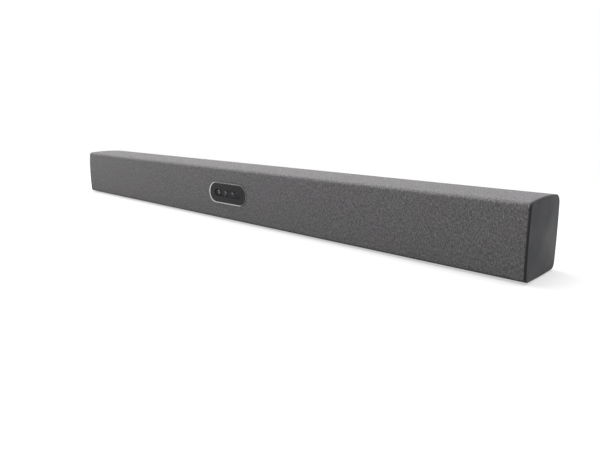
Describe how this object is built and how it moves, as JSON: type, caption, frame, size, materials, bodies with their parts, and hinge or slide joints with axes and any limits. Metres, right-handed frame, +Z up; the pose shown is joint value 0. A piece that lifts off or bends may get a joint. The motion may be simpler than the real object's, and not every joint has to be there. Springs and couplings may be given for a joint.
{
  "type": "conference camera",
  "caption": "Long fabric fronted conference camera bar with a stadium shaped camera window, moulded end caps, sprung speaker cones behind the fabric and a port bay at the back.",
  "frame": {"origin": "on the table under the middle of the bar, at the bottom centre of its bounding box", "axes": "+X along the bar, to the right for someone who faces its front, +Y to the back, +Z up; the front faces -Y"},
  "size_m": [1.11, 0.101, 0.1025],
  "materials": {
    "housing": "fine moulded texture",
    "carrier": "moulded, black",
    "fabric": "heathered knit",
    "end_cap": "fine moulded texture",
    "end_plate": "moulded",
    "bezel": "satin anodised",
    "window": "dark tinted, gloss",
    "holder": "moulded, black",
    "camera": "moulded, black",
    "lens": "coated",
    "light_pipe": "clear",
    "circuit_board": "solder resist",
    "microphone": "plain",
    "port_bay": "moulded, black",
    "connector": "plated",
    "inlet": "moulded, black",
    "switch": "moulded",
    "button": "moulded",
    "chip": "moulded",
    "heatsink": "extruded",
    "transformer": "wound and taped",
    "capacitor": "sleeved",
    "screw": "zinc plated",
    "insert": "turned",
    "foot": "soft, matt",
    "speaker_box": "moulded, black",
    "frame": "moulded",
    "cone": "coated paper",
    "surround": "soft, matt",
    "magnet": "zinc plated yoke"
  },
  "bodies": {
    "bar": {"board_screws": "screw", "bracket_inserts": "insert", "camera_board": "circuit_board", "camera_holder": "holder", "camera_holder_screws": "screw", "camera_lens_left": "lens", "camera_lens_middle": "lens", "camera_lens_right": "lens", "camera_module_left": "camera", "camera_module_middle": "camera", "camera_module_right": "camera", "camera_window": "window", "end_cap_left": "end_cap", "end_cap_right": "end_cap", "end_plate_left": "end_plate", "end_plate_right": "end_plate", "end_plate_screws": "screw", "fabric_cover": "fabric", "fullrange_frame_left": "frame", "fullrange_frame_right": "frame", "fullrange_magnet_left": "magnet", "fullrange_magnet_right": "magnet", "fullrange_surround_left": "surround", "fullrange_surround_right": "surround", "grille_carrier": "carrier", "hdmi_sockets": "connector", "heatsink": "heatsink", "main_board": "circuit_board", "mic_board": "circuit_board", "mic_capsules": "microphone", "network_socket": "connector", "port_bay": "port_bay", "power_inlet": "inlet", "presence_sensor": "camera", "processor": "chip", "psu_board": "circuit_board", "psu_capacitors": "capacitor", "psu_transformer": "transformer", "rear_housing": "housing", "reset_switch": "switch", "rubber_feet": "foot", "speaker_box_left": "speaker_box", "speaker_box_right": "speaker_box", "speaker_screws": "screw", "status_light_pipe": "light_pipe", "usb_sockets": "connector", "wifi_antenna_left": "circuit_board", "wifi_antenna_right": "circuit_board", "window_bezel": "bezel", "woofer_frame_left": "frame", "woofer_frame_right": "frame", "woofer_magnet_left": "magnet", "woofer_magnet_right": "magnet", "woofer_surround_left": "surround", "woofer_surround_right": "surround"},
    "fullrange_cone_left": {"fullrange_cone_left": "cone"},
    "fullrange_cone_right": {"fullrange_cone_right": "cone"},
    "woofer_cone_left": {"woofer_cone_left": "cone"},
    "woofer_cone_right": {"woofer_cone_right": "cone"},
    "reset_button": {"reset_button": "button"}
  },
  "joints": [
    {"name": "woofer_left_travel", "type": "slide", "parent": "bar", "child": "woofer_cone_left", "axis": [0, -1, 0], "range_m": [-0.0025, 0.0025], "stiffness_N_per_m": 1200, "deforming": ["woofer_surround_left"]},
    {"name": "woofer_right_travel", "type": "slide", "parent": "bar", "child": "woofer_cone_right", "axis": [0, -1, 0], "range_m": [-0.0025, 0.0025], "stiffness_N_per_m": 1200, "deforming": ["woofer_surround_right"]},
    {"name": "fullrange_left_travel", "type": "slide", "parent": "bar", "child": "fullrange_cone_left", "axis": [0, -1, 0], "range_m": [-0.0015, 0.0015], "stiffness_N_per_m": 1500, "deforming": ["fullrange_surround_left"]},
    {"name": "fullrange_right_travel", "type": "slide", "parent": "bar", "child": "fullrange_cone_right", "axis": [0, -1, 0], "range_m": [-0.0015, 0.0015], "stiffness_N_per_m": 1500, "deforming": ["fullrange_surround_right"]},
    {"name": "reset_press", "type": "slide", "parent": "bar", "child": "reset_button", "axis": [0, -1, 0], "range_m": [0, 0.0005], "stiffness_N_per_m": 800, "springref_m": -0.0003}
  ]
}
